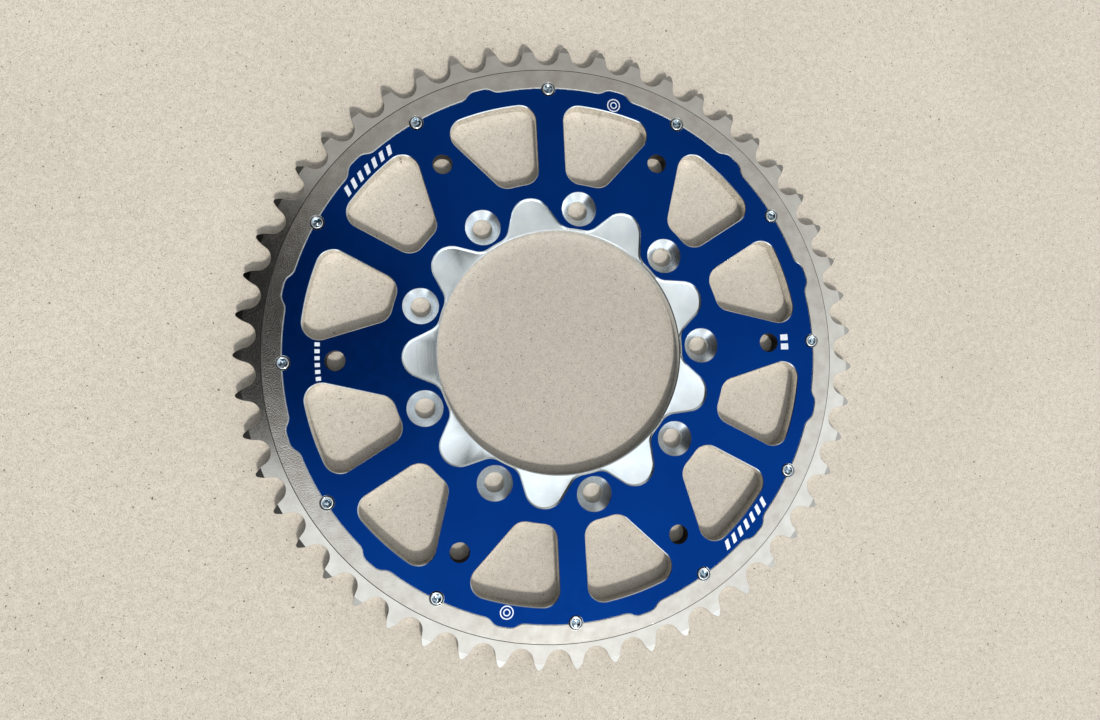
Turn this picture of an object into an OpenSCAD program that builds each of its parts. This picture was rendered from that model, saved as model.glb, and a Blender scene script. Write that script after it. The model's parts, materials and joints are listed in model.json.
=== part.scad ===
// Rear sprocket: a steel toothed ring riveted to an aluminium carrier.
// Millimetres. +Z is the sprocket axis and points to the outer, countersunk side.
// z = 0 is the hub side face of the carrier. +X passes through one hub bolt hole.

/* [Chain and teeth] */
// Number of teeth
tooth_count = 51; // [50:1:54]
// Chain pitch
chain_pitch = 15.875; // [15.875]
// Radius of the roller seat at the tooth root
seat_r = 5.15; // [5.13:0.01:5.28]
// Half of the angle that the roller seat spans, in degrees
seat_half_angle = 72; // [70:1:73]
// Radius of the convex tooth flank
flank_r = 16; // [15:0.5:18]
// Height of the tooth tip above the pitch circle
tip_rise = 3.66; // [3.3:0.1:3.7]
// Thickness of the toothed zone
tooth_thick = 5.4; // [5:0.1:5.8]
// Radial length of the bevel at the tooth tip
tip_bevel_length = 3.1; // [2.5:0.1:3.5]
// Axial depth of that bevel, on each side
tip_bevel_depth = 1.2; // [0.8:0.1:1.5]

/* [Steel band] */
// Thickness of the band inside the teeth
band_thick = 6; // [6:0.1:6.4]
// Radial distance from the tooth root to the edge of the band
band_step = 2.4; // [2:0.1:3]
// Play between the ring and the carrier
seam_gap = 0.05; // [0.03:0.01:0.08]

/* [Carrier] */
// Thickness of the carrier
carrier_thick = 6; // [5.8:0.1:6.2]
// Radius of the rim between the keys
rim_r = 113.6; // [113.4:0.1:113.8]
// Number of keys on the rim
key_count = 12; // [12]
// How far a key stands out of the rim
key_height = 2.5; // [2.2:0.1:2.7]
// Half of the angle of the flat top of a key, in degrees
key_top_half_angle = 0.95; // [0.8:0.05:1.1]
// Radius of the rounded corners of a key, convex and concave
key_corner_r = 5.5; // [5:0.1:6]

/* [Hub interface] */
// Radius of the centre bore
bore_r = 52; // [51.5:0.1:52.2]
// Size of the chamfer at the bore edges
bore_chamfer = 0.4; // [0.3:0.1:0.6]
// Number of hub bolt holes
bolt_count = 9; // [9]
// Radius of the bolt circle
bolt_circle_r = 61.65; // [61.4:0.05:61.9]
// Radius of a bolt hole
bolt_hole_r = 4.2; // [4.1:0.05:4.4]
// Radius of the countersink at the outer face
countersink_r = 7.45; // [7:0.05:7.6]

/* [Pocket around the bore] */
// Depth of the pocket below the outer face
pocket_depth = 1; // [0.6:0.1:1.4]
// Radius of the pocket at the bolt holes
pocket_base_r = 52.8; // [52.6:0.1:52.9]
// Radius of the round end of a lobe
lobe_r = 8.55; // [8.4:0.05:8.7]
// Distance from the axis to the centre of the round end
lobe_centre_r = 57.8; // [57.6:0.1:58]
// Angle between the lobe axis and the lobe side, in degrees
lobe_side_angle = 24.5; // [24:0.5:26]
// Radius of the rounded land between two lobes
land_corner_r = 7; // [6.6:0.1:7.2]

/* [Windows] */
// Number of windows, in mirrored pairs
window_count = 12; // [12]
// Radius of the outer edge of a window
window_outer_r = 106.5; // [106:0.1:106.8]
// Radius of the inner edge of a window
window_inner_r = 72.6; // [72.3:0.1:73]
// Half of the width of a narrow spoke
narrow_spoke_half = 6; // [5.7:0.1:6.4]
// Distance from the axis to the side line of a wide spoke
wide_spoke_offset = 33.8; // [33.5:0.1:34.2]
// Angle between that side line and the spoke, in degrees
wide_spoke_angle = 15; // [14:1:16]
// Radius of the window corners
window_corner_r = 6.8; // [6:0.1:7]

/* [Tooling holes] */
// Number of tooling holes, one in each wide spoke
tooling_count = 6; // [6]
// Radius of the circle through the tooling holes
tooling_circle_r = 92.9; // [92.5:0.1:93.3]
// Radius of a tooling hole
tooling_hole_r = 4.15; // [3.9:0.05:4.3]

/* [Rivets] */
// Number of rivets on the seam
rivet_count = 12; // [12]
// Radius of the circle through the rivets
rivet_circle_r = 113.15; // [113:0.05:113.3]
// Radius of a rivet shank
rivet_shank_r = 2; // [1.8:0.1:2.1]
// Radius of a rivet head
rivet_head_r = 2.45; // [2.3:0.05:2.5]
// Height of the head ring above the face
rivet_rise = 0.15; // [0.05:0.05:0.2]
// Radius of the conical seat at the face
rivet_seat_r = 3.1; // [3:0.05:3.2]
// Depth of the conical seat
rivet_seat_depth = 1.3; // [1.2:0.1:1.5]
// Play around the shank and under the head
rivet_gap = 0.05; // [0.03:0.01:0.06]

/* [Hidden] */
$fn = 120;
// length by which a cutter runs past the face it cuts
past = 1;
// overlap that makes two round stretches cross where they would only touch
lap = 0.005;
half_thick = carrier_thick / 2;
pocket_floor = carrier_thick - pocket_depth;

// teeth
pitch_r = chain_pitch / 2 / sin(180 / tooth_count);
tooth_half_angle = 180 / tooth_count;
tip_r = pitch_r + tip_rise;
root_r = pitch_r - seat_r;
band_r = root_r - band_step;
first_gap_angle = 90;
flank_centre_x = pitch_r - (seat_r + flank_r) * cos(seat_half_angle);
flank_centre_y = (seat_r + flank_r) * sin(seat_half_angle);
seat_end_x = pitch_r - seat_r * cos(seat_half_angle);
seat_end_y = seat_r * sin(seat_half_angle);

// keys on the carrier rim
key_pitch = 360 / key_count;
first_key_angle = key_pitch / 2;

// window corners, measured from the axis of a wide spoke
narrow_axis = 360 / window_count;
narrow_line = narrow_spoke_half + window_corner_r;
wide_line = wide_spoke_offset + window_corner_r;
corner_outer_r = window_outer_r - window_corner_r;
corner_inner_r = window_inner_r + window_corner_r;

// lobes of the pocket
lobe_pitch = 360 / bolt_count;
first_lobe_angle = lobe_pitch / 2;
lobe_normal = 90 - lobe_side_angle;
lobe_end = [lobe_centre_r + lobe_r * cos(lobe_normal), lobe_r * sin(lobe_normal)];
lobe_dir = [-cos(lobe_side_angle), sin(lobe_side_angle)];
lobe_out = [cos(lobe_normal), sin(lobe_normal)];
land_start = lobe_end + land_corner_r * lobe_out;
land_dot = land_start * lobe_dir;
land_centre_r = pocket_base_r + land_corner_r;
lobe_run = -land_dot - sqrt(land_dot * land_dot - land_start * land_start + land_centre_r * land_centre_r);
land_centre = land_start + lobe_run * lobe_dir;
side_end = lobe_end + lobe_run * lobe_dir;
base_end = land_centre * (pocket_base_r / land_centre_r);

// rivets
rivet_pitch = 360 / rivet_count;
seat_slope = (rivet_seat_r - rivet_shank_r - rivet_gap) / rivet_seat_depth;
head_contact_depth = (rivet_seat_r - rivet_head_r - rivet_gap) / seat_slope;
dish_r = 1.3;
dish_depth = 0.3;
ring_inner_r = 1.7;
ring_outer_r = 2.2;
head_top = half_thick + rivet_rise;

steel_colour = [0.62, 0.61, 0.60];
blue_colour = [0.02, 0.16, 0.45];
rivet_colour = [0.78, 0.80, 0.84];

// A pair of points mirrored about the X axis.
function flip(p) = [p[0], -p[1]];

// Point at a radius and an angle.
function at(r, a) = [r * cos(a), r * sin(a)];

// Angle between two sides of a triangle, from the three side lengths.
function angle_between(a, b, opposite) = acos((a * a + b * b - opposite * opposite) / (2 * a * b));

// Outline of the carrier rim with its keys. grow moves the whole outline outward.
module rim_outline(grow) {
    base = rim_r + grow;
    top = rim_r + key_height + grow;
    convex = key_corner_r + grow;
    concave = key_corner_r - grow;
    turn = angle_between(top - convex, base + concave, convex + concave);
    foot = key_top_half_angle + turn;
    corner = at(top - convex, key_top_half_angle);
    fillet = at(base + concave, foot);
    touch = corner + (fillet - corner) * convex / (convex + concave);
    foot_point = at(base, foot);
    shoulder = at(top, key_top_half_angle);
    difference() {
        union() {
            circle(r = base, $fn = 360);
            for (i = [0 : key_count - 1])
                rotate(first_key_angle + i * key_pitch) {
                    polygon([[0, 0], flip(foot_point), flip(touch), flip(corner), corner, touch, foot_point]);
                    intersection() {
                        circle(r = top, $fn = 360);
                        polygon([[0, 0], 2 * flip(shoulder), 2 * shoulder]);
                    }
                    for (p = [corner, flip(corner)])
                        translate(p)
                            circle(r = convex);
                }
        }
        for (i = [0 : key_count - 1])
            rotate(first_key_angle + i * key_pitch)
                for (p = [fillet, flip(fillet)])
                    translate(p)
                        circle(r = concave);
    }
}

// The space between two teeth, centred on the pitch circle.
module gap_outline() {
    outer = at(tip_r + 2 * past, tooth_half_angle);
    union() {
        translate([pitch_r, 0])
            circle(r = seat_r);
        difference() {
            polygon([[pitch_r, 0], [seat_end_x, -seat_end_y], flip(outer), outer, [seat_end_x, seat_end_y]]);
            for (s = [-1, 1])
                translate([flank_centre_x, s * flank_centre_y])
                    circle(r = flank_r, $fn = 240);
        }
    }
}

// One window, on the left of the axis of a wide spoke.
module window_outline() {
    narrow_outer = at(corner_outer_r, narrow_axis - asin(narrow_line / corner_outer_r));
    narrow_inner = at(corner_inner_r, narrow_axis - asin(narrow_line / corner_inner_r));
    wide_outer = at(corner_outer_r, asin(wide_line / corner_outer_r) - wide_spoke_angle);
    wide_inner = at(corner_inner_r, asin(wide_line / corner_inner_r) - wide_spoke_angle);
    narrow_side = window_corner_r * [-sin(narrow_axis), cos(narrow_axis)];
    wide_side = -window_corner_r * [sin(wide_spoke_angle), cos(wide_spoke_angle)];
    inward = (window_inner_r - past) / corner_inner_r;
    difference() {
        union() {
            for (p = [narrow_outer, narrow_inner, wide_outer, wide_inner])
                translate(p)
                    circle(r = window_corner_r + lap);
            polygon([narrow_inner + narrow_side, narrow_outer + narrow_side, narrow_outer,
                     wide_outer, wide_outer + wide_side, wide_inner + wide_side, wide_inner,
                     wide_inner * inward, narrow_inner * inward, narrow_inner]);
            intersection() {
                circle(r = window_outer_r, $fn = 360);
                polygon([wide_outer, 2 * wide_outer, 2 * narrow_outer, narrow_outer]);
            }
        }
        circle(r = window_inner_r, $fn = 360);
    }
}

// The wavy pocket around the bore.
module pocket_outline() {
    circle(r = pocket_base_r, $fn = 360);
    for (i = [0 : bolt_count - 1])
        rotate(first_lobe_angle + i * lobe_pitch) {
            translate([lobe_centre_r, 0])
                circle(r = lobe_r + lap);
            difference() {
                polygon([[0, 0], flip(base_end), flip(side_end), flip(lobe_end), [lobe_centre_r, 0],
                         lobe_end, side_end, base_end]);
                for (p = [land_centre, flip(land_centre)])
                    translate(p)
                        circle(r = land_corner_r + lap);
            }
        }
}

// Holes for the rivets, conical at both faces.
module rivet_holes() {
    for (i = [0 : rivet_count - 1])
        rotate(i * rivet_pitch)
            translate([rivet_circle_r, 0, half_thick])
                rotate_extrude($fn = 60)
                    polygon([[0, -half_thick - past], [rivet_seat_r + past * seat_slope, -half_thick - past],
                             [rivet_shank_r + rivet_gap, -half_thick + rivet_seat_depth],
                             [rivet_shank_r + rivet_gap, half_thick - rivet_seat_depth],
                             [rivet_seat_r + past * seat_slope, half_thick + past], [0, half_thick + past]]);
}

// Steel ring with the teeth.
module tooth_ring() {
    color(steel_colour)
        difference() {
            translate([0, 0, half_thick])
                rotate_extrude($fn = 360)
                    polygon([[rim_r - past, -band_thick / 2], [band_r, -band_thick / 2],
                             [band_r, -tooth_thick / 2], [tip_r - tip_bevel_length, -tooth_thick / 2],
                             [tip_r, -tooth_thick / 2 + tip_bevel_depth],
                             [tip_r, tooth_thick / 2 - tip_bevel_depth],
                             [tip_r - tip_bevel_length, tooth_thick / 2], [band_r, tooth_thick / 2],
                             [band_r, band_thick / 2], [rim_r - past, band_thick / 2]]);
            translate([0, 0, half_thick - band_thick / 2 - past])
                linear_extrude(band_thick + 2 * past)
                    rim_outline(seam_gap);
            translate([0, 0, half_thick - band_thick / 2 - past])
                for (i = [0 : tooth_count - 1])
                    rotate(first_gap_angle + 2 * i * tooth_half_angle)
                        linear_extrude(band_thick + 2 * past)
                            gap_outline();
            rivet_holes();
        }
}

// Aluminium carrier.
module carrier() {
    color(blue_colour)
        difference() {
            linear_extrude(carrier_thick)
                difference() {
                    rim_outline(0);
                    for (i = [0 : window_count / 2 - 1])
                        rotate(i * 2 * narrow_axis) {
                            window_outline();
                            mirror([0, 1])
                                window_outline();
                        }
                    for (i = [0 : tooling_count - 1])
                        rotate(i * 2 * narrow_axis)
                            translate([tooling_circle_r, 0])
                                circle(r = tooling_hole_r);
                }
            rotate_extrude($fn = 360)
                polygon([[0, -past], [bore_r + bore_chamfer + past, -past], [bore_r, bore_chamfer],
                         [bore_r, pocket_floor - bore_chamfer], [bore_r + bore_chamfer, pocket_floor],
                         [bore_r + bore_chamfer, carrier_thick + past], [0, carrier_thick + past]]);
            translate([0, 0, pocket_floor])
                linear_extrude(pocket_depth + past)
                    pocket_outline();
            for (i = [0 : bolt_count - 1])
                rotate(i * lobe_pitch)
                    translate([bolt_circle_r, 0, 0])
                        rotate_extrude()
                            polygon([[0, -past], [bolt_hole_r, -past],
                                     [bolt_hole_r, carrier_thick - (countersink_r - bolt_hole_r)],
                                     [countersink_r + past, carrier_thick + past],
                                     [0, carrier_thick + past]]);
            rivet_holes();
        }
}

// One rivet with a formed head on each side.
module rivet(i) {
    color(rivet_colour)
        rotate((i - 1) * rivet_pitch)
            translate([rivet_circle_r, 0, half_thick])
                rotate_extrude($fn = 60)
                    polygon([[0, -half_thick + dish_depth], [dish_r, -half_thick + dish_depth],
                             [ring_inner_r, -head_top], [ring_outer_r, -head_top],
                             [rivet_head_r, -half_thick], [rivet_head_r, -half_thick + head_contact_depth],
                             [rivet_shank_r, -half_thick + rivet_seat_depth],
                             [rivet_shank_r, half_thick - rivet_seat_depth],
                             [rivet_head_r, half_thick - head_contact_depth], [rivet_head_r, half_thick],
                             [ring_outer_r, head_top], [ring_inner_r, head_top],
                             [dish_r, half_thick - dish_depth], [0, half_thick - dish_depth]]);
}

tooth_ring();
carrier();
rivet(1);  // rivet_01
rivet(2);  // rivet_02
rivet(3);  // rivet_03
rivet(4);  // rivet_04
rivet(5);  // rivet_05
rivet(6);  // rivet_06
rivet(7);  // rivet_07
rivet(8);  // rivet_08
rivet(9);  // rivet_09
rivet(10);  // rivet_10
rivet(11);  // rivet_11
rivet(12);  // rivet_12
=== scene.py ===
"""Rear sprocket: its looks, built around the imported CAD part.

Outlines are worked out in millimetres and become metres when a mesh is made.
Every piece is in the CAD's own frame: +Z is the sprocket axis, z = 0 the hub side face.
"""

import json
import math

import bmesh
import bpy
import numpy as np
from mathutils import Euler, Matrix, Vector
from mathutils.geometry import delaunay_2d_cdt


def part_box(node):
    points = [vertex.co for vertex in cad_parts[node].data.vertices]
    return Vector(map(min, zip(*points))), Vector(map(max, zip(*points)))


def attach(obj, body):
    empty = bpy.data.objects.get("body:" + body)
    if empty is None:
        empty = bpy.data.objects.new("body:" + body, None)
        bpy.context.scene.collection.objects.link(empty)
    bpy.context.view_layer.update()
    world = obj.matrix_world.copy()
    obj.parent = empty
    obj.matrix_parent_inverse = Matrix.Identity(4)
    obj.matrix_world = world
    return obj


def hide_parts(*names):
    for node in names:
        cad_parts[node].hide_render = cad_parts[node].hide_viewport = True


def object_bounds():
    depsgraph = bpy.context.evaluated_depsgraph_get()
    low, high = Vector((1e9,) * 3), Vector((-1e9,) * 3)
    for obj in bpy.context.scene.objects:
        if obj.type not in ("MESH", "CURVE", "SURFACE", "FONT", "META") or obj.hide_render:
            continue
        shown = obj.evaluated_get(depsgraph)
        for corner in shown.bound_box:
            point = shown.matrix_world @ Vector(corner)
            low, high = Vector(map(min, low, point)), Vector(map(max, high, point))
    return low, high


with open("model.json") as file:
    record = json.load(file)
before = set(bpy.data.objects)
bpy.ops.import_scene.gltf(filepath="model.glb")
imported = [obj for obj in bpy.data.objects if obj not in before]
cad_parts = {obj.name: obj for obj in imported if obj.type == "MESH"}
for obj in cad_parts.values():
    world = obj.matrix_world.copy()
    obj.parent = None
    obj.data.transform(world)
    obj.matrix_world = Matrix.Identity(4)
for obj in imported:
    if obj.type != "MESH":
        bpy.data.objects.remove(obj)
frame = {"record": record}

cad_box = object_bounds()
MM = 0.001

# ---------------------------------------------------------------- sizes from the frame

mounts = {m["name"]: m for m in frame["record"]["mounts"]}
BORE_R = mounts["hub_bore"]["dims"]["r_mm"]
BOLT_COUNT = mounts["hub_bolts"]["dims"]["count"]
BOLT_CIRCLE_R = mounts["hub_bolts"]["dims"]["pcd_mm"] / 2
BOLT_HOLE_R = mounts["hub_bolts"]["dims"]["hole_r_mm"]
TOOTH_COUNT = mounts["chain"]["dims"]["count"]
PITCH_R = mounts["chain"]["dims"]["pcd_mm"] / 2

BACK_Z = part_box("carrier")[0][2] / MM
FACE_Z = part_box("carrier")[1][2] / MM
MID_Z = (BACK_Z + FACE_Z) / 2
# one tooth points along -Y
TIP_R = -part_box("tooth_ring")[0][1] / MM
HEAD_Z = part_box("rivet_01")[1][2] / MM
FLOOR_Z = cad_box[0][2]

# ---------------------------------------------------------------- sizes of the pieces, in mm

# teeth
SEAT_R = 5.15
SEAT_HALF_ANGLE = 72
FLANK_R = 16
TIP_BEVEL_LENGTH = 3.1
TIP_BEVEL_DEPTH = 1.2
# the radius that rounds the tips is searched in this range, by halving it this many times
TIP_ROUND_RANGE = (0.2, 3.0)
TIP_ROUND_HALVINGS = 50
TOOTH_HALF_THICK = 2.7
TOOTH_EDGE = 0.12
BAND_TO_SEAT = 2.4
BAND_R = PITCH_R - SEAT_R - BAND_TO_SEAT
# angle of the gap that the others are counted from
FIRST_GAP = 90

# rim of the carrier, with its keys
RIM_R = 113.6
KEY_COUNT = 12
KEY_HEIGHT = 2.5
KEY_TOP_HALF_ANGLE = 0.95
KEY_CORNER_R = 5.5
SEAM_GAP = 0.05
RIM_CHAMFER = 0.22
BAND_CHAMFER = 0.15

# windows
WINDOW_COUNT = 12
WINDOW_OUTER_R = 106.5
WINDOW_INNER_R = 72.6
NARROW_SPOKE_HALF = 6.0
WIDE_SPOKE_OFFSET = 33.8
WIDE_SPOKE_ANGLE = 15
WINDOW_CORNER_R = 6.8
WINDOW_CHAMFER = 0.3

# pocket and bore
POCKET_DEPTH = 1.0
POCKET_BASE_R = 52.8
LOBE_R = 8.55
LOBE_CENTRE_R = 57.8
LOBE_SIDE_ANGLE = 24.5
LAND_CORNER_R = 7.0
POCKET_FILLET = 0.75
# steps of the fillet, from the wall to the floor, in degrees
POCKET_FILLET_ANGLES = (0, 18, 36, 54, 72, 90)
# the fillet fades out where the pocket is as narrow as this
POCKET_FLOOR_R = 52.5
POCKET_EDGE = 0.08
BORE_CHAMFER = 0.4

# holes
COUNTERSINK_R = 7.45
BOLT_BACK_CHAMFER = 0.3
TOOLING_COUNT = 6
TOOLING_CIRCLE_R = 92.9
TOOLING_HOLE_R = 4.15
TOOLING_EDGE = 0.06

# rivets
RIVET_COUNT = 12
RIVET_CIRCLE_R = 113.15
RIVET_SHANK_R = 2.0
RIVET_SEAT_R = 3.1
RIVET_SEAT_DEPTH = 1.3
RIVET_GAP = 0.05
RIVET_SIDES = 48
# below this depth the seat is painted near black: painted shade in the hollow
PAINTED_SHADE_DEPTH = 0.34
# a head from its dished middle outward: radius, and height above the face
RIVET_RISE = HEAD_Z - FACE_Z
RIVET_PROFILE = (
    (0.6, -0.42), (1.15, -0.38), (1.6, -0.26), (1.84, -0.05),
    (1.94, RIVET_RISE * 0.8), (2.04, RIVET_RISE), (2.2, RIVET_RISE), (2.33, RIVET_RISE * 0.5),
    (2.42, -0.06), (2.44, -0.2), (2.44, -0.66), (RIVET_SHANK_R, -1.25),
)
RIVET_MIDDLE_DEPTH = 0.4
# the middle of a head is beaten: this many facets around, up to this radius and this deep
BEATS = 6
BEATEN_R = 1.75
BEAT_DEPTH = 0.17

# step between the band and the teeth, with a narrow undercut at its foot that is painted near black as
# painted shade
STEP_EDGE = 0.06
UNDERCUT_WIDTH = 0.34
UNDERCUT_DEPTH = 0.3

# generic marks, by angle: rows of slanted bars and plain rings on the rim, short dashes in two wide spokes
MARK_BARS = (135, 315)
MARK_RINGS = (75, 255)
PAIR_ANGLE = 0
DASHES_ANGLE = 180
# each row of bars: radius, height, how many, and their width, gap and slant in degrees
RIM_BARS = (110.0, 3.6, 7, 1.0, 1.1, -0.9)
PAIR = (100.2, 3.4, 2, 1.5, 0.8, 0)
DASHES = (99.8, 2.0, 6, 0.9, 0.7, 0)
# two rings about one centre: outer and inner radius of each
MARK_RING_R = 110.0
MARK_RING_RADII = ((2.85, 2.4), (1.5, 1.05))

# steps of the arcs
ROUND_STEPS = 360
BOLT_SIDES = 72
TOOLING_SIDES = 48
KEY_FILLET_STEPS = 9
KEY_TOP_STEPS = 4
NOTCH_STEPS = 28
RIM_STEPS = 8
WINDOW_CORNER_STEPS = 14
WINDOW_TIGHT_CORNER_STEPS = 10
WINDOW_OUTER_STEPS = 12
WINDOW_INNER_STEPS = 5
LOBE_STEPS = 14
LAND_CORNER_STEPS = 10
LAND_STEPS = 5
SEAT_STEPS = 16
FLANK_STEPS = 7
BEVEL_STEPS = 5
CROWN_STEPS = 6
CREASE_STEPS = 6
MARK_RING_STEPS = (40, 32)

# an edge sharper than this, in degrees, is shaded sharp
CARRIER_SHARP = 28
RING_SHARP = 14
RIVET_SHARP = 40

# ---------------------------------------------------------------- outline helpers


def at(radius, degrees):
    """Point at a radius and an angle."""
    a = math.radians(degrees)
    return np.array([radius * math.cos(a), radius * math.sin(a)])


def turned(points, degrees):
    """Points turned about the axis."""
    a = math.radians(degrees)
    turn = np.array([[math.cos(a), math.sin(a)], [-math.sin(a), math.cos(a)]])
    return np.asarray(points) @ turn


def flipped(points):
    """Points mirrored about the X axis, in reverse order, so that they still run anticlockwise."""
    return (np.asarray(points) * [1, -1])[::-1]


def arc(centre, radius, start, end, steps):
    """Points of an arc between two angles, without its last point."""
    angles = np.radians(np.linspace(start, end, steps + 1)[:-1])
    return np.asarray(centre) + radius * np.stack([np.cos(angles), np.sin(angles)], 1)


def arc_between(centre, first, last, steps):
    """Points of the short arc from one point to another, without the last."""
    a = np.asarray(first) - centre
    b = np.asarray(last) - centre
    start = math.degrees(math.atan2(a[1], a[0]))
    turn = (math.degrees(math.atan2(b[1], b[0])) - start + 180) % 360 - 180
    return arc(centre, np.hypot(*a), start, start + turn, steps)


def circle(radius, steps=ROUND_STEPS, centre=(0, 0)):
    """Points of a whole circle."""
    return arc(centre, radius, 0, 360, steps)


def triangle_angle(a, b, opposite):
    """Angle between sides a and b of a triangle, in degrees."""
    return math.degrees(math.acos((a * a + b * b - opposite * opposite) / (2 * a * b)))


def meet(centre, radius, origin_r):
    """The two points where a circle crosses a circle about the axis, that of larger angle first."""
    distance = np.hypot(*centre)
    turn = triangle_angle(distance, origin_r, radius)
    heading = math.degrees(math.atan2(centre[1], centre[0]))
    return at(origin_r, heading + turn), at(origin_r, heading - turn)


# ---------------------------------------------------------------- outlines


def rim_outline(grow, notch_r, notch_outside):
    """Carrier rim with its keys and with the rivets' notches, all moved outward by grow."""
    base = RIM_R + grow
    top = RIM_R + KEY_HEIGHT + grow
    convex = KEY_CORNER_R + grow
    concave = KEY_CORNER_R - grow
    turn = triangle_angle(top - convex, base + concave, convex + concave)
    foot = KEY_TOP_HALF_ANGLE + turn
    corner = at(top - convex, KEY_TOP_HALF_ANGLE)
    fillet = at(base + concave, foot)
    touch = corner + (fillet - corner) * convex / (convex + concave)
    shoulder = at(top, KEY_TOP_HALF_ANGLE)
    foot_point = at(base, foot)
    mirror = np.array([1, -1])
    key = np.concatenate([
        arc_between(fillet * mirror, foot_point * mirror, touch * mirror, KEY_FILLET_STEPS),
        arc_between(corner * mirror, touch * mirror, shoulder * mirror, KEY_FILLET_STEPS),
        arc((0, 0), top, -KEY_TOP_HALF_ANGLE, KEY_TOP_HALF_ANGLE, KEY_TOP_STEPS),
        arc_between(corner, shoulder, touch, KEY_FILLET_STEPS),
        arc_between(fillet, touch, foot_point, KEY_FILLET_STEPS),
    ])
    half_notch = triangle_angle(base, RIVET_CIRCLE_R, notch_r)
    edge = at(base, half_notch) - np.array([RIVET_CIRCLE_R, 0])
    edge_angle = math.degrees(math.atan2(edge[1], edge[0]))
    far = edge_angle if notch_outside else edge_angle - 360
    notch = arc((RIVET_CIRCLE_R, 0), notch_r, -edge_angle, far, NOTCH_STEPS)
    pitch = 360 / KEY_COUNT
    run = arc((0, 0), base, foot - pitch / 2, -half_notch, RIM_STEPS)
    rest = arc((0, 0), base, half_notch, pitch / 2 - foot, RIM_STEPS)
    one = np.concatenate([run, notch, rest, turned(key, pitch / 2)])
    return np.concatenate([turned(one, i * pitch) for i in range(KEY_COUNT)])


def window_outline(grow):
    """One window beside the wide spoke on the X axis, made larger all round by grow."""
    narrow_axis = 360 / WINDOW_COUNT
    narrow_line = NARROW_SPOKE_HALF + WINDOW_CORNER_R
    wide_line = WIDE_SPOKE_OFFSET + WINDOW_CORNER_R
    outer_r = WINDOW_OUTER_R - WINDOW_CORNER_R
    inner_r = WINDOW_INNER_R + WINDOW_CORNER_R
    corner = WINDOW_CORNER_R + grow

    def on_narrow(radius):
        return at(radius, narrow_axis - math.degrees(math.asin(narrow_line / radius)))

    def on_wide(radius):
        return at(radius, math.degrees(math.asin(wide_line / radius)) - WIDE_SPOKE_ANGLE)

    def heading(point):
        return math.degrees(math.atan2(point[1], point[0]))

    wide_outer, narrow_outer = on_wide(outer_r), on_narrow(outer_r)
    narrow_inner, wide_inner = on_narrow(inner_r), on_wide(inner_r)
    narrow_side = 90 + narrow_axis
    wide_side = -90 - WIDE_SPOKE_ANGLE
    return np.concatenate([
        arc(wide_outer, corner, wide_side, heading(wide_outer), WINDOW_CORNER_STEPS),
        arc((0, 0), WINDOW_OUTER_R + grow, heading(wide_outer), heading(narrow_outer), WINDOW_OUTER_STEPS),
        arc(narrow_outer, corner, heading(narrow_outer), narrow_side, WINDOW_CORNER_STEPS),
        arc(narrow_inner, corner, narrow_side, heading(narrow_inner) + 180, WINDOW_TIGHT_CORNER_STEPS),
        arc((0, 0), WINDOW_INNER_R - grow, heading(narrow_inner), heading(wide_inner), WINDOW_INNER_STEPS),
        arc(wide_inner, corner, heading(wide_inner) + 180, 360 + wide_side, WINDOW_TIGHT_CORNER_STEPS),
    ])


def window_outlines(grow):
    """All windows: a mirrored pair beside each wide spoke."""
    one = window_outline(grow)
    pair = [one, flipped(one)]
    spokes = WINDOW_COUNT // 2
    return [turned(w, i * 360 / spokes) for i in range(spokes) for w in pair]


def pocket_outline(grow):
    """The wavy pocket around the bore, made larger by grow."""
    base_r = POCKET_BASE_R + grow
    normal = 90 - LOBE_SIDE_ANGLE
    out = at(1, normal)
    along = at(1, 180 - LOBE_SIDE_ANGLE)
    lobe = np.array([LOBE_CENTRE_R, 0])
    start = lobe + (LOBE_R + LAND_CORNER_R) * out
    land_r = POCKET_BASE_R + LAND_CORNER_R
    dot = start @ along
    run = -dot - math.sqrt(dot * dot - start @ start + land_r * land_r)
    land = start + run * along
    land_angle = math.degrees(math.atan2(land[1], land[0]))
    pitch = 360 / BOLT_COUNT
    side_end = land - (LAND_CORNER_R - grow) * out
    foot = at(base_r, land_angle)
    half = np.concatenate([
        arc(lobe, LOBE_R + grow, 0, normal, LOBE_STEPS),
        [lobe + (LOBE_R + grow) * out],
        arc_between(land, side_end, foot, LAND_CORNER_STEPS),
        arc((0, 0), base_r, land_angle, pitch / 2, LAND_STEPS),
    ])
    other = np.concatenate([half[1:], [at(base_r, pitch / 2)]]) * [1, -1]
    one = np.concatenate([other[::-1], half])
    one *= np.maximum(POCKET_FLOOR_R / np.hypot(*one.T), 1)[:, None]
    return np.concatenate([turned(one, (i + 0.5) * pitch) for i in range(BOLT_COUNT)])


def tip_rounding(across):
    """Radius that rounds a tip so that it touches both flanks and ends at TIP_R.

    across is the centre of a flank's arc, with X along the tooth's middle line.
    """
    low, high = TIP_ROUND_RANGE
    for _ in range(TIP_ROUND_HALVINGS):
        radius = (low + high) / 2
        top = across[0] + math.sqrt((FLANK_R - radius) ** 2 - across[1] ** 2) + radius
        low, high = (radius, high) if top > TIP_R else (low, radius)
    return radius


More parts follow.
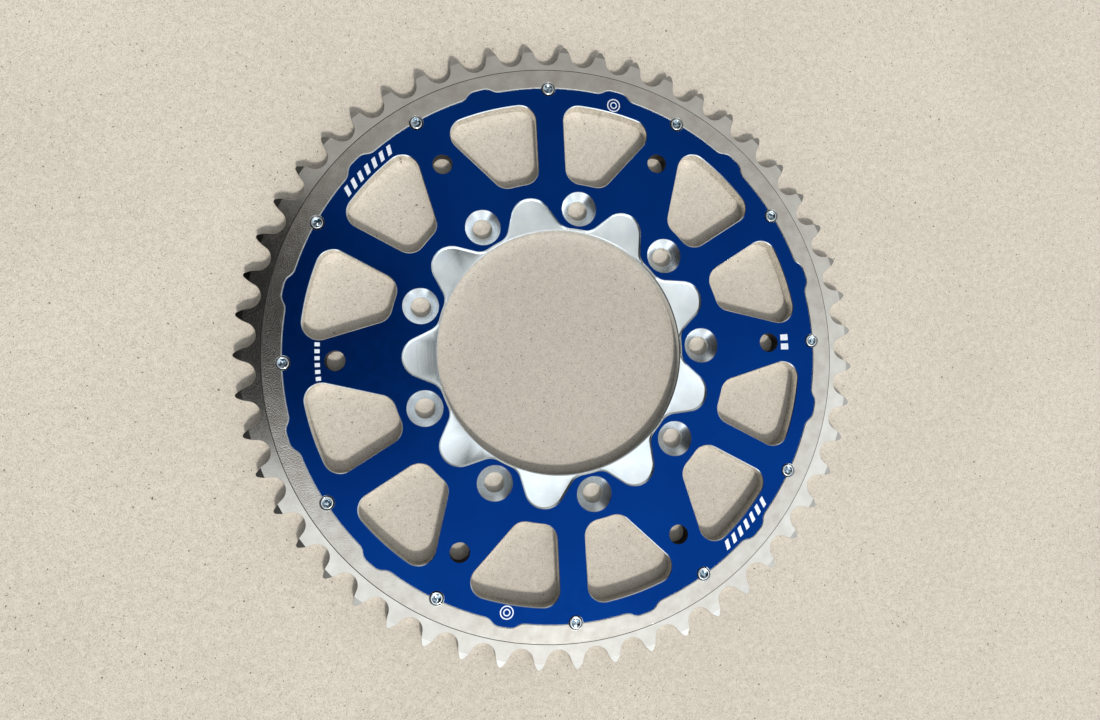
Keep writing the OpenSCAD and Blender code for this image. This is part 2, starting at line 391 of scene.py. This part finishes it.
def tooth_outline(grow):
    """Outline of the teeth moved outward by grow.

    Also gives the numbers of the points where each tooth's bevel starts and ends.
    """
    half_pitch = 180 / TOOTH_COUNT
    seat = np.array([PITCH_R, 0])
    flank = seat + at(SEAT_R + FLANK_R, 180 - SEAT_HALF_ANGLE)
    seat_end = seat + at(SEAT_R - grow, 180 - SEAT_HALF_ANGLE)
    bevel_start = min(meet(flank, FLANK_R + grow, TIP_R - TIP_BEVEL_LENGTH), key=lambda p: p[1])
    tip_round = tip_rounding(turned([flank], -half_pitch)[0])
    tip = at(TIP_R - tip_round, half_pitch)
    tip_side = flank + (tip - flank) * (FLANK_R + grow) / np.hypot(*(tip - flank))
    floor = arc(seat, SEAT_R - grow, 180 + SEAT_HALF_ANGLE, 180 - SEAT_HALF_ANGLE, SEAT_STEPS)
    side = np.concatenate([
        arc_between(flank, seat_end, bevel_start, FLANK_STEPS),
        arc_between(flank, bevel_start, tip_side, BEVEL_STEPS),
    ])
    next_side = turned(flipped(side), 2 * half_pitch)
    next_tip = turned([tip_side * [1, -1]], 2 * half_pitch)[0]
    crown = arc_between(tip, tip_side, next_tip, CROWN_STEPS)
    one = np.concatenate([floor, side, crown, [next_tip], next_side[:-1]])
    rise = len(floor) + FLANK_STEPS
    fall = len(floor) + len(side) + len(crown) + BEVEL_STEPS
    outline = np.concatenate([turned(one, FIRST_GAP + 2 * i * half_pitch) for i in range(TOOTH_COUNT)])
    return outline, [(i * len(one) + rise, i * len(one) + fall) for i in range(TOOTH_COUNT)]


def tooth_half_thickness(radius):
    """Half the thickness of the toothed zone, which the bevels thin towards the tips."""
    past = np.maximum(radius - (TIP_R - TIP_BEVEL_LENGTH), 0)
    return TOOTH_HALF_THICK - past * TIP_BEVEL_DEPTH / TIP_BEVEL_LENGTH


# ---------------------------------------------------------------- generic marks


def slanted_bars(middle, radius, height, count, width, gap, slant):
    """A row of short slanted bars about a middle angle. Width, gap and slant are angles too."""
    bars = []
    first = middle - ((count - 1) * (width + gap) + width) / 2
    for i in range(count):
        low = first + i * (width + gap)
        inner = [at(radius - height / 2, low + width * t) for t in (0, 0.5, 1)]
        outer = [at(radius + height / 2, low + slant + width * t) for t in (1, 0.5, 0)]
        bars.append(np.array(inner + outer))
    return bars


def face_marks():
    """Outlines of all the marks on the outer face."""
    marks = []
    for middle in MARK_BARS:
        marks += slanted_bars(middle, *RIM_BARS)
    for angle in MARK_RINGS:
        centre = at(MARK_RING_R, angle)
        for radii in MARK_RING_RADII:
            marks += [circle(radius, steps, centre) for radius, steps in zip(radii, MARK_RING_STEPS)]
    marks += slanted_bars(PAIR_ANGLE, *PAIR)
    marks += slanted_bars(DASHES_ANGLE, *DASHES)
    return marks


# ---------------------------------------------------------------- mesh building


def inside(points, rings):
    """Which points lie inside an odd number of rings."""
    odd = np.zeros(len(points), bool)
    x, y = points[:, 0], points[:, 1]
    for ring in rings:
        for (x0, y0), (x1, y1) in zip(ring, np.roll(ring, -1, axis=0)):
            if y0 != y1:
                crosses = (y0 > y) != (y1 > y)
                odd ^= crosses & (x < (x1 - x0) * (y - y0) / (y1 - y0) + x0)
    return odd


class Solid:
    """Collects the walls and flat faces of one closed mesh, in mm."""

    def __init__(self):
        self.points = []
        self.axes = []
        self.faces = []
        self.looks = []

    def row(self, outline, height, axis=(0, 0)):
        """Adds points and gives their numbers. axis is what their surface was turned about."""
        first = len(self.points)
        heights = np.broadcast_to(height, len(outline))
        self.points += [(p[0], p[1], z) for p, z in zip(outline, heights)]
        self.axes += [axis] * len(outline)
        return list(range(first, len(self.points)))

    def bridge(self, upper, lower, look):
        """A wall between two loops with the same number of points."""
        for i, j in zip(range(len(upper)), [*range(1, len(upper)), 0]):
            self.faces.append((upper[i], lower[i], lower[j], upper[j]))
            self.looks.append(look)

    def wall(self, levels, axis=(0, 0)):
        """Bridged loops from the top down. levels holds (outline, height, look of the wall above)."""
        loops = [self.row(outline, height, axis) for outline, height, _ in levels]
        for upper, lower, (_, _, look) in zip(loops, loops[1:], levels[1:]):
            self.bridge(upper, lower, look)
        return loops[0], loops[-1]

    def fill(self, loops, look, creases=(), marks=(), mark_look=0):
        """A triangulated face between loops.

        creases are rows of points that edges follow. marks are areas with a look of their own.
        """
        closed = list(loops) + list(marks)
        pairs = [(a, b) for ring in closed for a, b in zip(ring, ring[1:] + ring[:1])]
        pairs += [(a, b) for row in creases for a, b in zip(row, row[1:])]
        numbers = sorted({n for pair in pairs for n in pair})
        place = {n: i for i, n in enumerate(numbers)}
        flat = [Vector(self.points[n][:2]) for n in numbers]
        edges = [(place[a], place[b]) for a, b in pairs]
        _, _, triangles, sources, _, _ = delaunay_2d_cdt(flat, edges, [], 0, 1e-6)
        corners = np.array([[numbers[sources[i][0]] for i in t] for t in triangles])
        spots = np.array(self.points)[:, :2]
        centres = spots[corners].mean(1)
        kept = inside(centres, [spots[ring] for ring in loops])
        marked = inside(centres, [spots[ring] for ring in marks])
        for corner, mark in zip(corners[kept], marked[kept]):
            self.faces.append(tuple(int(n) for n in corner))
            self.looks.append(mark_look if mark else look)

    def paint_seat_shade(self, look):
        """Gives the deeper part of the rivets' conical seats a near-black look: painted shade."""
        centres = [at(RIVET_CIRCLE_R, i * 360 / RIVET_COUNT) for i in range(RIVET_COUNT)]
        shaded_r = seat_radius(PAINTED_SHADE_DEPTH)
        spots = np.array(self.points)[:, :2]
        for i, face in enumerate(self.faces):
            middle = spots[list(face)].mean(0)
            if min(np.hypot(*(middle - c)) for c in centres) < shaded_r:
                self.looks[i] = look

    def finish(self, name, materials, sharp):
        """The mesh object, in metres.

        Its attribute turn holds each point's place seen from the axis that it was turned about.
        """
        mesh = bpy.data.meshes.new(name)
        mesh.from_pydata([tuple(c * MM for c in p) for p in self.points], [], self.faces)
        for material in materials:
            mesh.materials.append(material)
        mesh.polygons.foreach_set("material_index", self.looks)
        turn = mesh.attributes.new("turn", "FLOAT_VECTOR", "POINT")
        local = np.array(self.points)
        local[:, :2] -= np.array(self.axes)
        turn.data.foreach_set("vector", (local * MM).ravel())
        build = bmesh.new()
        build.from_mesh(mesh)
        loose = [v for v in build.verts if not v.link_faces]
        bmesh.ops.delete(build, geom=loose, context="VERTS")
        bmesh.ops.recalc_face_normals(build, faces=build.faces)
        build.to_mesh(mesh)
        build.free()
        mesh.shade_smooth()
        mesh.set_sharp_from_angle(angle=math.radians(sharp))
        piece = bpy.data.objects.new(name, mesh)
        bpy.context.scene.collection.objects.link(piece)
        return piece


# ---------------------------------------------------------------- pieces

# looks of the carrier's faces
ANODISED, MACHINED, TURNED, MARKED, HOLLOW_PAINTED_SHADE, MILLED = range(6)
# looks of a rivet's faces
PLATED, RECESS = range(2)
# looks of the ring's faces
BAND, TOOTH_FACE, TOOTH_SIDE, SEAT, PAINTED_SHADE = range(5)


def seat_radius(depth):
    """Radius of a rivet's conical seat at a depth below the face."""
    slope = (RIVET_SEAT_R - RIVET_SHANK_R - RIVET_GAP) / RIVET_SEAT_DEPTH
    return max(RIVET_SEAT_R - depth * slope, RIVET_SHANK_R + RIVET_GAP)


def seam_levels(grow, chamfer, edge, outside, look):
    """Levels of the seam wall from face to face, with chamfered edges and conical notches."""
    depths = [0, edge, PAINTED_SHADE_DEPTH, RIVET_SEAT_DEPTH]
    moves = [chamfer, 0, 0, 0]
    upper = [
        (rim_outline(grow + move, seat_radius(depth), outside), FACE_Z - depth, look)
        for depth, move in zip(depths, moves)
    ]
    lower = [(outline, BACK_Z + FACE_Z - height, look) for outline, height, look in reversed(upper)]
    return upper + lower


def build_carrier(materials):
    """The carrier, with its rim, windows, holes, pocket, bore and marks."""
    solid = Solid()
    rim = solid.wall(seam_levels(0, -RIM_CHAMFER, RIM_CHAMFER, False, MACHINED))
    top, bottom = [rim[0]], [rim[1]]
    edged, plain = window_outlines(WINDOW_CHAMFER), window_outlines(0)
    for wide, straight in zip(edged, plain):
        ends = solid.wall([
            (wide, FACE_Z, MACHINED),
            (straight, FACE_Z - WINDOW_CHAMFER, MACHINED),
            (straight, BACK_Z + WINDOW_CHAMFER, MILLED),
            (wide, BACK_Z, MACHINED),
        ])
        top.append(ends[0])
        bottom.append(ends[1])
    for i in range(TOOLING_COUNT):
        centre = at(TOOLING_CIRCLE_R, i * 360 / TOOLING_COUNT)
        wide = circle(TOOLING_HOLE_R + TOOLING_EDGE, TOOLING_SIDES, centre)
        straight = circle(TOOLING_HOLE_R, TOOLING_SIDES, centre)
        # the tooling holes' walls get the near-black look: painted shade
        ends = solid.wall([
            (wide, FACE_Z, ANODISED),
            (straight, FACE_Z - TOOLING_EDGE, ANODISED),
            (straight, BACK_Z + TOOLING_EDGE, HOLLOW_PAINTED_SHADE),
            (wide, BACK_Z, ANODISED),
        ], tuple(centre))
        top.append(ends[0])
        bottom.append(ends[1])
    for i in range(BOLT_COUNT):
        centre = at(BOLT_CIRCLE_R, i * 360 / BOLT_COUNT)
        hole = circle(BOLT_HOLE_R, BOLT_SIDES, centre)
        ends = solid.wall([
            (circle(COUNTERSINK_R, BOLT_SIDES, centre), FACE_Z, TURNED),
            (hole, FACE_Z - (COUNTERSINK_R - BOLT_HOLE_R), TURNED),
            (hole, BACK_Z + BOLT_BACK_CHAMFER, TURNED),
            (circle(BOLT_HOLE_R + BOLT_BACK_CHAMFER, BOLT_SIDES, centre), BACK_Z, TURNED),
        ], tuple(centre))
        top.append(ends[0])
        bottom.append(ends[1])
    floor_z = FACE_Z - POCKET_DEPTH
    fillet = []
    for a in np.radians(POCKET_FILLET_ANGLES):
        outline = pocket_outline(-POCKET_FILLET * (1 - math.cos(a)))
        fillet.append((outline, floor_z + POCKET_FILLET * (1 - math.sin(a)), MACHINED))
    pocket = solid.wall([
        (pocket_outline(POCKET_EDGE), FACE_Z, MACHINED),
        (pocket_outline(0), FACE_Z - POCKET_EDGE, MACHINED),
    ] + fillet)
    top.append(pocket[0])
    edge = circle(BORE_R + BORE_CHAMFER)
    bore = solid.wall([
        (edge, floor_z, TURNED),
        (circle(BORE_R), floor_z - BORE_CHAMFER, TURNED),
        (circle(BORE_R), BACK_Z + BORE_CHAMFER, TURNED),
        (edge, BACK_Z, TURNED),
    ])
    bottom.append(bore[1])
    marks = [solid.row(mark, FACE_Z) for mark in face_marks()]
    solid.fill(top, ANODISED, marks=marks, mark_look=MARKED)
    solid.fill([pocket[1], bore[0]], MACHINED)
    solid.fill(bottom, ANODISED)
    solid.paint_seat_shade(HOLLOW_PAINTED_SHADE)
    return solid.finish("carrier_body", materials, CARRIER_SHARP)


def build_ring(materials):
    """The toothed ring, with its seam, its band and its teeth on both sides."""
    solid = Solid()
    seam = solid.wall(seam_levels(SEAM_GAP, BAND_CHAMFER, BAND_CHAMFER, True, SEAT))
    for end, side in ((seam[0], 1), (seam[1], -1)):
        band_z = MID_Z + side * (FACE_Z - MID_Z)
        tooth_z = MID_Z + side * TOOTH_HALF_THICK
        # the undercut at the step's foot is painted near black: painted shade
        step = solid.wall([
            (circle(BAND_R - STEP_EDGE), band_z, BAND),
            (circle(BAND_R), band_z - side * STEP_EDGE, TOOTH_SIDE),
            (circle(BAND_R), tooth_z - side * UNDERCUT_DEPTH, PAINTED_SHADE),
            (circle(BAND_R + UNDERCUT_WIDTH), tooth_z - side * UNDERCUT_DEPTH, PAINTED_SHADE),
            (circle(BAND_R + UNDERCUT_WIDTH), tooth_z, PAINTED_SHADE),
        ])
        solid.fill([end, step[0]], BAND)
        face, bevels = tooth_outline(-TOOTH_EDGE)
        rim = solid.row(face, MID_Z + side * tooth_half_thickness(np.hypot(*face.T)))
        creases = []
        for start, end_of in bevels:
            across = arc_between((0, 0), face[start], face[end_of], CREASE_STEPS)[1:]
            creases.append([rim[start]] + solid.row(across, tooth_z) + [rim[end_of]])
        solid.fill([rim, step[1]], TOOTH_FACE, creases)
        side_outline, _ = tooth_outline(0)
        thickness = tooth_half_thickness(np.hypot(*side_outline.T)) - TOOTH_EDGE
        shoulder = solid.row(side_outline, MID_Z + side * thickness)
        solid.bridge(rim, shoulder, TOOTH_SIDE)
        if side > 0:
            upper = shoulder
    solid.bridge(upper, shoulder, TOOTH_SIDE)
    solid.paint_seat_shade(PAINTED_SHADE)
    return solid.finish("toothed_ring", materials, RING_SHARP)


def build_rivet(number, materials):
    """A turned rivet with a raised ring and a beaten, dished middle on each head."""
    half = FACE_Z - MID_Z
    random = np.random.default_rng(number)
    profile = [(r, half + z) for r, z in RIVET_PROFILE]
    centre = at(RIVET_CIRCLE_R, (number - 1) * 360 / RIVET_COUNT)
    solid = Solid()
    levels = profile + [(r, -z) for r, z in reversed(profile)]
    rows = []
    for r, z in levels:
        height = np.full(RIVET_SIDES, z)
        if r < BEATEN_R:
            beats = random.uniform(-BEAT_DEPTH, BEAT_DEPTH, BEATS)
            height += np.repeat(beats, RIVET_SIDES // BEATS)
        rows.append(solid.row(circle(r, RIVET_SIDES, centre), MID_Z + height, tuple(centre)))
    for i, (upper, lower) in enumerate(zip(rows, rows[1:])):
        inner = min(levels[i][0], levels[i + 1][0]) < BEATEN_R
        # the dished middle takes the look with painted shade
        solid.bridge(upper, lower, RECESS if inner else PLATED)
    middle_z = half - RIVET_MIDDLE_DEPTH
    for ring, z in ((rows[0], middle_z), (rows[-1], -middle_z)):
        tip = solid.row([centre], MID_Z + z, tuple(centre))
        for a, b in zip(ring, ring[1:] + ring[:1]):
            solid.faces.append((a, b, tip[0]))
            solid.looks.append(RECESS)
    return solid.finish("rivet_%02d_body" % number, materials, RIVET_SHARP)


# ---------------------------------------------------------------- materials


class Shader:
    """A new material with short calls for its nodes."""

    def __init__(self, name):
        self.material = bpy.data.materials.new(name)
        self.material.use_nodes = True
        self.tree = self.material.node_tree
        self.surface = self.tree.nodes["Principled BSDF"]
        self.place = self.tree.nodes.new("ShaderNodeTexCoord").outputs["Object"]

    def node(self, kind, values=None, links=None, **settings):
        """A new node, with its fixed inputs, its linked inputs and its settings."""
        node = self.tree.nodes.new("ShaderNode" + kind)
        for key, value in settings.items():
            setattr(node, key, value)
        for key, value in (values or {}).items():
            node.inputs[key].default_value = value
        for key, source in (links or {}).items():
            self.tree.links.new(source, node.inputs[key])
        return node

    def link(self, source, socket):
        """Links an output to the surface shader."""
        self.tree.links.new(source, self.surface.inputs[socket])

    def noise(self, scale, detail, where=None, roughness=0.5):
        """A noise about 1 / scale metres across, over the piece or over another place."""
        values = {"Scale": scale, "Detail": detail, "Roughness": roughness}
        return self.node("TexNoise", values, {"Vector": where or self.place}).outputs["Fac"]

    def spread(self, source, low, high, from_low=0.3, from_high=0.7):
        """A value stretched from one range to another."""
        values = {"From Min": from_low, "From Max": from_high, "To Min": low, "To Max": high}
        return self.node("MapRange", values, {"Value": source}).outputs["Result"]

    def blend(self, amount, first, second):
        """Mixes two colours, each a tuple or another node's output."""
        mix = self.node("Mix", data_type="RGBA")
        self.tree.links.new(amount, mix.inputs["Factor"])
        for name, colour in (("A", first), ("B", second)):
            socket = next(i for i in mix.inputs if i.name == name and i.type == "RGBA")
            if isinstance(colour, tuple):
                socket.default_value = (*colour, 1.0)
            else:
                self.tree.links.new(colour, socket)
        return next(o for o in mix.outputs if o.type == "RGBA")

    def bump(self, height, distance, base=None):
        """A bump of a height in metres, on top of another bump if there is one."""
        links = {"Height": height}
        if base:
            links["Normal"] = base
        return self.node("Bump", {"Strength": 1.0, "Distance": distance}, links).outputs["Normal"]

    def turned_radius(self):
        """Distance from the axis that a surface was turned about, as a place for a noise."""
        turn = self.node("Attribute", attribute_name="turn")
        flat = self.node("VectorMath", {1: (1, 1, 0)}, {0: turn.outputs["Vector"]}, operation="MULTIPLY")
        length = self.node("VectorMath", links={0: flat.outputs[0]}, operation="LENGTH")
        depth = self.node("SeparateXYZ", links={0: turn.outputs["Vector"]})
        rings = self.node("CombineXYZ", links={"X": length.outputs["Value"], "Y": depth.outputs["Z"]})
        return rings.outputs[0]


def metal(name, light, dark, roughness, blotch, grain, grain_depth,
          metallic=1.0, groove=0, groove_depth=0.0, softness=0.2):
    """A metal with colour blotches, a fine grain and, where groove is set, the grooves of turning.

    blotch, grain and groove are noise scales, and the depths are in metres. A smaller softness gives
    blotches with harder edges. roughness is a range that follows the grain.
    """
    shader = Shader(name)
    shader.surface.inputs["Metallic"].default_value = metallic
    patches = shader.spread(shader.noise(blotch, 4.0), 0.0, 1.0, 0.5 - softness, 0.5 + softness)
    shader.link(shader.blend(patches, dark, light), "Base Color")
    fine = shader.noise(grain, 4.0)
    shader.link(shader.spread(fine, roughness[0], roughness[1]), "Roughness")
    normal = shader.bump(fine, grain_depth)
    if groove:
        lines = shader.noise(groove, 2.0, shader.turned_radius())
        normal = shader.bump(lines, groove_depth, base=normal)
    shader.link(normal, "Normal")
    return shader.material


def anodised_blue():
    """Dyed anodising over brushed metal: dark, even and satin."""
    shader = Shader("anodised_blue")
    shader.surface.inputs["Metallic"].default_value = 0.82
    shader.surface.inputs["Specular IOR Level"].default_value = 0.1
    tone = shader.spread(shader.noise(35, 5.0), 0.0, 1.0)
    shader.link(shader.blend(tone, (0.0, 0.027, 0.185), (0.0, 0.033, 0.21)), "Base Color")
    shader.link(shader.spread(shader.noise(400, 4.0), 0.19, 0.24), "Roughness")
    shader.link(shader.bump(shader.noise(9000, 2.0), 0.000004), "Normal")
    return shader.material


def laser_mark():
    return metal(
        "laser_mark", light=(0.80, 0.84, 0.92), dark=(0.62, 0.68, 0.80), roughness=(0.5, 0.65),
        blotch=900, grain=5000, grain_depth=0.00001, metallic=0.3)


def band_steel():
    return metal(
        "band_steel", light=(0.67, 0.65, 0.60), dark=(0.55, 0.51, 0.46), roughness=(0.13, 0.21),
        blotch=160, grain=2000, grain_depth=0.00006)


def tooth_steel():
    return metal(
        "tooth_steel", light=(0.74, 0.72, 0.67), dark=(0.64, 0.61, 0.56), roughness=(0.12, 0.18),
        blotch=140, grain=1500, grain_depth=0.000003, groove=3000, groove_depth=0.000003)


def side_steel():
    return metal(
        "side_steel", light=(0.60, 0.58, 0.55), dark=(0.45, 0.43, 0.41), roughness=(0.3, 0.45),
        blotch=300, grain=2000, grain_depth=0.00001)


def seat_steel():
    return metal(
        "seat_steel", light=(0.75, 0.75, 0.74), dark=(0.60, 0.60, 0.59), roughness=(0.2, 0.3),
        blotch=600, grain=3000, grain_depth=0.000006)


# near black: painted shade for the undercut, the deeper rivet seats and the tooling holes' walls
def painted_shade_steel():
    return metal(
        "painted_shade_steel", light=(0.045, 0.042, 0.04), dark=(0.015, 0.014, 0.013), roughness=(0.45, 0.65),
        blotch=400, grain=2500, grain_depth=0.00001, metallic=0.8)


def machined_aluminium():
    return metal(
        "machined_aluminium", light=(0.93, 0.985, 1.0), dark=(0.80, 0.88, 0.93), roughness=(0.13, 0.20),
        blotch=130, grain=1800, grain_depth=0.000005, groove=1300, groove_depth=0.000006)


def milled_aluminium():
    return metal(
        "milled_aluminium", light=(0.92, 0.90, 0.86), dark=(0.55, 0.53, 0.49), roughness=(0.22, 0.36),
        blotch=900, grain=2500, grain_depth=0.00005)


def turned_aluminium():
    return metal(
        "turned_aluminium", light=(0.86, 0.91, 0.95), dark=(0.77, 0.82, 0.86), roughness=(0.18, 0.26),
        blotch=300, grain=2500, grain_depth=0.000004, groove=5000, groove_depth=0.000022)


def zinc_plate():
    return metal(
        "zinc_plate", light=(0.93, 0.96, 0.98), dark=(0.78, 0.84, 0.89), roughness=(0.12, 0.22),
        blotch=700, grain=2500, grain_depth=0.00001)


# the near-black patches in the dished middle are painted shade, mixed by noise with pale bluish zinc
def zinc_recess_painted_shade():
    return metal(
        "zinc_recess_painted_shade", light=(0.66, 0.82, 0.94), dark=(0.02, 0.05, 0.09), roughness=(0.10, 0.18),
        blotch=900, grain=2500, grain_depth=0.00001, softness=0.09)


def paper_floor():
    """Recycled paper: pulp, paler clouds, pale fibres and dark specks, with painted shade that darkens it
    under the part.
    """
    shader = Shader("paper_floor")
    for socket, value in (("Metallic", 0.0), ("Roughness", 0.9), ("Specular IOR Level", 0.2)):
        shader.surface.inputs[socket].default_value = value
    tone = shader.spread(shader.noise(12, 6.0), 0.0, 1.0)
    paper = shader.blend(tone, (0.575, 0.53, 0.467), (0.64, 0.595, 0.525))
    pulp = shader.spread(shader.noise(2300, 6.0, roughness=0.75), 0.0, 1.0, 0.38, 0.52)
    paper = shader.blend(pulp, (0.34, 0.30, 0.25), paper)
    clouds = shader.spread(shader.noise(330, 6.0, roughness=0.7), 0.0, 0.35, 0.45, 0.62)
    paper = shader.blend(clouds, paper, (0.72, 0.67, 0.59))
    values = {"Scale": (2600, 700, 1000), "Rotation": (0, 0, 0.6)}
    stretch = shader.node("Mapping", values, {"Vector": shader.place}).outputs[0]
    fibres = shader.spread(shader.noise(1.0, 2.0, stretch), 0.0, 0.7, 0.64, 0.74)
    paper = shader.blend(fibres, paper, (0.86, 0.82, 0.75))
    specks = shader.spread(shader.noise(700, 1.0), 0.0, 0.9, 0.735, 0.76)
    paper = shader.blend(specks, paper, (0.12, 0.09, 0.07))
    # painted shade: the paper colour darkens towards the middle, under the part
    from_middle = shader.node("VectorMath", links={0: shader.place}, operation="LENGTH")
    shade = shader.spread(from_middle.outputs["Value"], 0.36, 0.0, 0.04, 0.15)
    paper = shader.blend(shade, paper, (0.18, 0.165, 0.15))
    shader.link(paper, "Base Color")
    shader.link(shader.bump(shader.noise(1400, 5.0), 0.00006), "Normal")
    return shader.material


# ---------------------------------------------------------------- stage, light and camera

# the camera looks down at the part from beside its axis
CAMERA_PLACE = (-0.0503, -0.0177, 0.3034)
CAMERA_TILT = (-0.0478, 0.1502, 0.0439)
CAMERA_LENS = 23.38
CAMERA_SENSOR = 36
CAMERA_NEAR = 0.01
# the key light comes from the bright side
KEY_DIRECTION = (0.12, -0.62, 0.77)
KEY_ANGLE = 0.12
KEY_STRENGTH = 2.5
KEY_COLOUR = (1.0, 0.95, 0.87)
# the room is brighter towards this side
ROOM_BRIGHT_SIDE = (0.15, -0.99, 0.0)
# brightness of the room from its dim side to its bright side
ROOM_LEVELS = (
    (-1.0, 0.55), (-0.96, 0.42), (-0.9, 0.22), (-0.6, 0.30), (-0.38, 0.42), (-0.16, 0.56), (0.02, 0.78),
    (0.11, 0.98), (0.2, 1.0), (0.35, 0.94), (0.7, 1.15), (0.86, 1.30), (0.94, 0.80), (1.0, 0.60))
# how much of that is left from the -X side of the room to the +X side
ROOM_ACROSS = ((-0.8, 0.04), (-0.62, 0.10), (-0.42, 0.95), (0.5, 1.0), (0.8, 0.55))
ROOM_STRENGTH = 1.2
WHITE = (1.0, 1.0, 1.0)
# tints of the room where it is dim and where it is bright
DIM_TINT = (1.01, 0.985, 0.93)
BRIGHT_TINT = (0.945, 0.985, 1.01)
# a long dark card hangs over the part, beside the camera: its middle, long direction and half sizes
CARD_MIDDLE = (-0.432, 0.19, 0.882)
CARD_ALONG = (-0.936, 0.351, 0.0)
CARD_ACROSS = (0.351, 0.936, 0.0)
CARD_HALF_LENGTH = 0.51
CARD_HALF_WIDTH = 0.2
# the card fades between these shares of its size, and this much of the room shows through it
CARD_EDGE = (0.85, 1.15)
CARD_LEVEL = 0.02
FLOOR_SIZE = 3.0


def add_floor():
    """A wide sheet of paper under the part."""
    half = FLOOR_SIZE / 2
    mesh = bpy.data.meshes.new("floor")
    corners = [(-half, -half), (half, -half), (half, half), (-half, half)]
    mesh.from_pydata([(x, y, FLOOR_Z) for x, y in corners], [], [(0, 1, 2, 3)])
    mesh.materials.append(paper_floor())
    floor = bpy.data.objects.new("floor", mesh)
    bpy.context.scene.collection.objects.link(floor)


def add_key():
    """A soft sun."""
    light = bpy.data.lights.new("key", "SUN")
    light.angle = KEY_ANGLE
    light.energy = KEY_STRENGTH
    light.color = KEY_COLOUR
    lamp = bpy.data.objects.new("key", light)
    direction = Vector(KEY_DIRECTION).normalized()
    lamp.location = direction
    lamp.rotation_euler = direction.to_track_quat("Z", "Y").to_euler()
    bpy.context.scene.collection.objects.link(lamp)


def add_world():
    """A plain room: dim on one side, bright on the other, with a dark card overhead."""
    world = bpy.data.worlds.new("room")
    bpy.context.scene.world = world
    world.use_nodes = True
    nodes, links = world.node_tree.nodes, world.node_tree.links
    place = nodes.new("ShaderNodeTexCoord").outputs["Generated"]

    def math_node(kind, first, second):
        node = nodes.new("ShaderNodeMath")
        node.operation = kind
        for socket, value in zip(node.inputs, (first, second)):
            if isinstance(value, float):
                socket.default_value = value
            else:
                links.new(value, socket)
        return node.outputs[0]

    def along(direction):
        dot = nodes.new("ShaderNodeVectorMath")
        dot.operation = "DOT_PRODUCT"
        dot.inputs[1].default_value = direction
        links.new(place, dot.inputs[0])
        return dot.outputs["Value"]

    def mapped(source, low, high, to_low, to_high, kind="LINEAR"):
        stretch = nodes.new("ShaderNodeMapRange")
        stretch.interpolation_type = kind
        for name, value in (("From Min", low), ("From Max", high), ("To Min", to_low), ("To Max", to_high)):
            stretch.inputs[name].default_value = value
        links.new(source, stretch.inputs["Value"])
        return stretch.outputs["Result"]

    def ramped(source, levels, tints):
        """Colours along a value: each level takes its tint from how bright it is."""
        first, last = levels[0][0], levels[-1][0]
        ramp = nodes.new("ShaderNodeValToRGB")
        links.new(mapped(source, first, last, 0.0, 1.0), ramp.inputs["Fac"])
        elements = ramp.color_ramp.elements
        while len(elements) < len(levels):
            elements.new(0.5)
        for element, (side, level) in zip(elements, levels):
            element.position = (side - first) / (last - first)
            element.color = (*(level * (d + (b - d) * level) for d, b in zip(*tints)), 1.0)
        return ramp.outputs["Color"]

    def card_place(axis, half):
        axis = Vector(axis)
        shift = axis.dot(Vector(CARD_MIDDLE))
        scaled = math_node("DIVIDE", math_node("SUBTRACT", along(axis), shift), half)
        return math_node("POWER", math_node("ABSOLUTE", scaled, 0.0), 2.0)

    from_card = math_node("SQRT", math_node(
        "ADD", card_place(CARD_ALONG, CARD_HALF_LENGTH), card_place(CARD_ACROSS, CARD_HALF_WIDTH)), 0.0)
    clear = mapped(from_card, CARD_EDGE[0], CARD_EDGE[1], CARD_LEVEL, 1.0, "SMOOTHSTEP")
    across = ramped(along((1.0, 0.0, 0.0)), ROOM_ACROSS, (WHITE, WHITE))
    strength = math_node("MULTIPLY", math_node("MULTIPLY", across, clear), ROOM_STRENGTH)
    background = nodes["Background"]
    links.new(strength, background.inputs["Strength"])
    room = ramped(along(ROOM_BRIGHT_SIDE), ROOM_LEVELS, (DIM_TINT, BRIGHT_TINT))
    links.new(room, background.inputs["Color"])


def add_camera():
    """The camera, which becomes the scene's own."""
    lens = bpy.data.cameras.new("camera")
    lens.lens = CAMERA_LENS
    lens.sensor_width = CAMERA_SENSOR
    lens.clip_start = CAMERA_NEAR
    camera = bpy.data.objects.new("camera", lens)
    camera.location = CAMERA_PLACE
    # the tilt turns the part's frame into the camera's, so the camera turns the other way
    camera.rotation_euler = Euler(CAMERA_TILT).to_matrix().transposed().to_euler()
    bpy.context.scene.collection.objects.link(camera)
    bpy.context.scene.camera = camera


# ---------------------------------------------------------------- the part

# near-black steel that paints shade into the hollows
hollow_shade = painted_shade_steel()
carrier = build_carrier([anodised_blue(), machined_aluminium(), turned_aluminium(), laser_mark(), hollow_shade,
                         milled_aluminium()])
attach(carrier, "root")
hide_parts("carrier")

ring = build_ring([band_steel(), tooth_steel(), side_steel(), seat_steel(), hollow_shade])
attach(ring, "root")
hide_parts("tooth_ring")

plate = [zinc_plate(), zinc_recess_painted_shade()]
for number in range(1, RIVET_COUNT + 1):
    rivet = build_rivet(number, plate)
    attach(rivet, "root")
    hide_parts("rivet_%02d" % number)

add_floor()
add_key()
add_world()
add_camera()
bpy.context.scene.view_settings.view_transform = "Standard"
